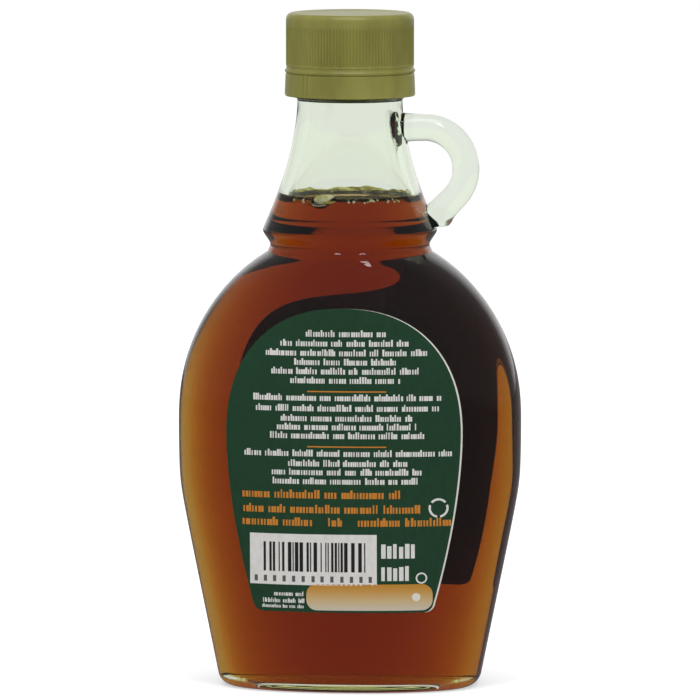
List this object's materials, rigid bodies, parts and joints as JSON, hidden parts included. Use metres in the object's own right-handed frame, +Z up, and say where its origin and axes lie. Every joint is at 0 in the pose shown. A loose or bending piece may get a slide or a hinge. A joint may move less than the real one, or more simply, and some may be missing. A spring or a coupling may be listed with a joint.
{
  "type": "maple syrup jug",
  "caption": "Flat oval glass jug of maple syrup with a small ring handle at the neck, a ribbed screw cap and paper labels front and back.",
  "frame": {"origin": "centre of the base, on the plane the jug stands on", "axes": "+Z up along the neck axis; +X along the wide way of the oval, towards the handle; the back label faces -Y and the front label +Y"},
  "size_m": [0.0792, 0.042, 0.1556],
  "materials": {
    "clear_glass": "clear and glossy, very slightly green",
    "syrup": "clear dark amber liquid; glass stands in for the liquid",
    "cap_plastic": "semi-gloss moulded olive green",
    "label_paper": "satin printed paper, dark green"
  },
  "bodies": {
    "root": {"glass_jug": "clear_glass", "maple_syrup": "syrup", "screw_cap": "cap_plastic", "back_label": "label_paper", "front_label": "label_paper"}
  },
  "joints": []
}
